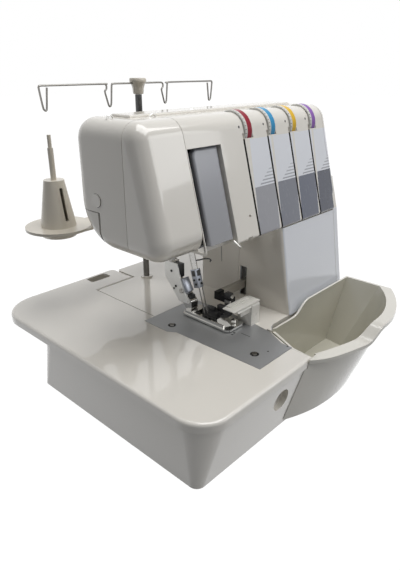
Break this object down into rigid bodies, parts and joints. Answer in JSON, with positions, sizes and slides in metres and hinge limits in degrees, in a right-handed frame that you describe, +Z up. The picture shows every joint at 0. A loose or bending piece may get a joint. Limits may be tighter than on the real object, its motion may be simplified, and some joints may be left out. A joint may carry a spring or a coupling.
{
  "type": "serger overlock machine",
  "caption": "Overlock sewing machine with free-standing head, tension dials, thread tree, presser foot, loopers, knives, sliding extension table and waste tray",
  "frame": {"origin": "centre of the bounding box in X and Y, on the surface the feet stand on", "axes": "X runs from the needle end to the handwheel end, Y from the sewing side to the thread stand, Z up"},
  "size_m": [0.376, 0.3845, 0.333],
  "materials": {
    "shell": "gloss",
    "panel": "gloss",
    "beige": "satin",
    "smoke": "gloss",
    "black_plastic": "satin",
    "steel": "brushed",
    "plate_steel": "satin",
    "chrome": "polished",
    "cast": "cast",
    "bush_brass": "satin",
    "rubber": "matte",
    "pan_metal": "satin",
    "motor_metal": "satin",
    "dial_white": "gloss"
  },
  "bodies": {
    "base": {"face_cover": "shell", "end_cover": "shell", "end_cover_plug": "shell", "top_cover": "shell", "rear_cover": "shell", "column_cover": "shell", "right_cover": "shell", "looper_cover": "shell", "base_skirt": "shell", "bed_cover": "shell", "front_panel": "panel", "knife_guard": "panel", "spool_stand": "beige", "cone_holders": "beige", "spool_discs": "beige", "take_up_cover": "smoke", "tree_post": "black_plastic", "power_inlet": "black_plastic", "lower_knife": "steel", "dial_axle": "steel", "tension_discs": "steel", "needle_plate": "plate_steel", "cast_frame": "cast", "shaft_bushes": "bush_brass", "rubber_feet": "rubber", "timing_belt": "rubber", "motor_belt": "rubber", "bottom_pan": "pan_metal", "motor": "motor_metal"},
    "shaft": {"main_shaft": "steel", "shaft_pulleys": "black_plastic", "handwheel": "shell"},
    "upper": {"upper_shaft": "steel"},
    "rotor": {"motor_pulley": "black_plastic"},
    "needle": {"needle_bar": "steel", "needle_clamp": "steel", "needles": "steel", "needle_link": "steel"},
    "presser": {"presser_bar": "steel", "foot_ankle": "chrome", "presser_foot": "chrome"},
    "lifter": {"foot_lifter_lever": "shell"},
    "feed_main": {"feed_dog_main": "steel"},
    "feed_diff": {"feed_dog_differential": "steel"},
    "looper_low": {"lower_looper": "steel"},
    "looper_up": {"upper_looper": "steel"},
    "knife": {"knife_arm": "black_plastic", "upper_knife": "steel"},
    "dial_1": {"tension_dial_1": "dial_white"},
    "dial_2": {"tension_dial_2": "dial_white"},
    "dial_3": {"tension_dial_3": "dial_white"},
    "dial_4": {"tension_dial_4": "dial_white"},
    "tree": {"tree_rod": "steel", "tree_guide_wires": "steel", "tree_cap": "beige"},
    "table": {"extension_table": "shell"},
    "tray": {"waste_tray": "shell"},
    "stitch_dial": {"stitch_length_dial": "beige"},
    "diff_lever": {"differential_lever": "beige"},
    "rocker": {"power_switch_rocker": "black_plastic"}
  },
  "joints": [
    {"name": "main_shaft_spin", "type": "hinge", "parent": "base", "child": "shaft", "pos_m": [0.062, 0.01225, 0.042], "axis": [1, 0, 0], "continuous": true},
    {"name": "upper_shaft_spin", "type": "hinge", "parent": "base", "child": "upper", "pos_m": [0.062, 0.02295, 0.238], "axis": [1, 0, 0], "continuous": true},
    {"name": "motor_spin", "type": "hinge", "parent": "base", "child": "rotor", "pos_m": [0.122, -0.03275, 0.112], "axis": [1, 0, 0], "continuous": true},
    {"name": "needle_bar_slide", "type": "slide", "parent": "base", "child": "needle", "axis": [0, 0.2756, 0.9613], "range_m": [-0.026, 0]},
    {"name": "lower_looper_swing", "type": "hinge", "parent": "base", "child": "looper_low", "pos_m": [0.012, -0.03975, 0.034], "axis": [0, 1, 0], "range_deg": [-7.6, 0.5]},
    {"name": "upper_looper_swing", "type": "hinge", "parent": "base", "child": "looper_up", "pos_m": [0.018, -0.03975, 0.052], "axis": [0, 1, 0], "range_deg": [-0.5, 7.6]},
    {"name": "knife_slide", "type": "slide", "parent": "base", "child": "knife", "axis": [0, 0, 1], "range_m": [-0.008, 0.0005]},
    {"name": "feed_main_slide", "type": "slide", "parent": "base", "child": "feed_main", "axis": [0, 1, 0], "range_m": [-0.002, 0.002]},
    {"name": "feed_diff_slide", "type": "slide", "parent": "base", "child": "feed_diff", "axis": [0, 1, 0], "range_m": [-0.002, 0.002]},
    {"name": "foot_lifter_turn", "type": "hinge", "parent": "base", "child": "lifter", "pos_m": [-0.088, 0.02625, 0.186], "axis": [1, 0, 0], "range_deg": [-40.5, 0]},
    {"name": "presser_bar_slide", "type": "slide", "parent": "base", "child": "presser", "axis": [0, 0, 1], "range_m": [0, 0.006]},
    {"name": "tension_dial_1_turn", "type": "hinge", "parent": "base", "child": "dial_1", "pos_m": [0.0053, -0.02122, 0.282], "axis": [1, 0, 0], "range_deg": [-160, 160]},
    {"name": "tension_dial_2_turn", "type": "hinge", "parent": "base", "child": "dial_2", "pos_m": [0.0471, -0.02122, 0.282], "axis": [1, 0, 0], "range_deg": [-160, 160]},
    {"name": "tension_dial_3_turn", "type": "hinge", "parent": "base", "child": "dial_3", "pos_m": [0.0889, -0.02122, 0.282], "axis": [1, 0, 0], "range_deg": [-160, 160]},
    {"name": "tension_dial_4_turn", "type": "hinge", "parent": "base", "child": "dial_4", "pos_m": [0.1307, -0.02122, 0.282], "axis": [1, 0, 0], "range_deg": [-160, 160]},
    {"name": "thread_tree_slide", "type": "slide", "parent": "base", "child": "tree", "axis": [0, 0, 1], "range_m": [0, 0.2]},
    {"name": "table_slide", "type": "slide", "parent": "base", "child": "table", "axis": [-1, 0, 0], "range_m": [0, 0.15]},
    {"name": "waste_tray_slide", "type": "slide", "parent": "base", "child": "tray", "axis": [0, -1, 0], "range_m": [0, 0.12]},
    {"name": "stitch_length_turn", "type": "hinge", "parent": "base", "child": "stitch_dial", "pos_m": [0.17, -0.04775, 0.118], "axis": [1, 0, 0], "range_deg": [-135, 135]},
    {"name": "differential_turn", "type": "hinge", "parent": "base", "child": "diff_lever", "pos_m": [0.17, -0.01775, 0.118], "axis": [1, 0, 0], "range_deg": [-30, 30]},
    {"name": "power_rocker", "type": "hinge", "parent": "base", "child": "rocker", "pos_m": [0.161, 0.07025, 0.034], "axis": [0, 1, 0], "range_deg": [-10, 0]}
  ],
  "couplings": [
    {"joint": "upper_shaft_spin", "follows": "main_shaft_spin", "ratio": 1},
    {"joint": "motor_spin", "follows": "main_shaft_spin", "ratio": 3.1111},
    {"joint": "lower_looper_swing", "follows": "needle_bar_slide", "rad_per_m": 5},
    {"joint": "upper_looper_swing", "follows": "needle_bar_slide", "rad_per_m": -5},
    {"joint": "knife_slide", "follows": "needle_bar_slide", "ratio": 0.3},
    {"joint": "feed_main_slide", "follows": "needle_bar_slide", "ratio": 0.075},
    {"joint": "feed_diff_slide", "follows": "needle_bar_slide", "ratio": 0.075},
    {"joint": "foot_lifter_turn", "follows": "presser_bar_slide", "rad_per_m": -116.3}
  ]
}
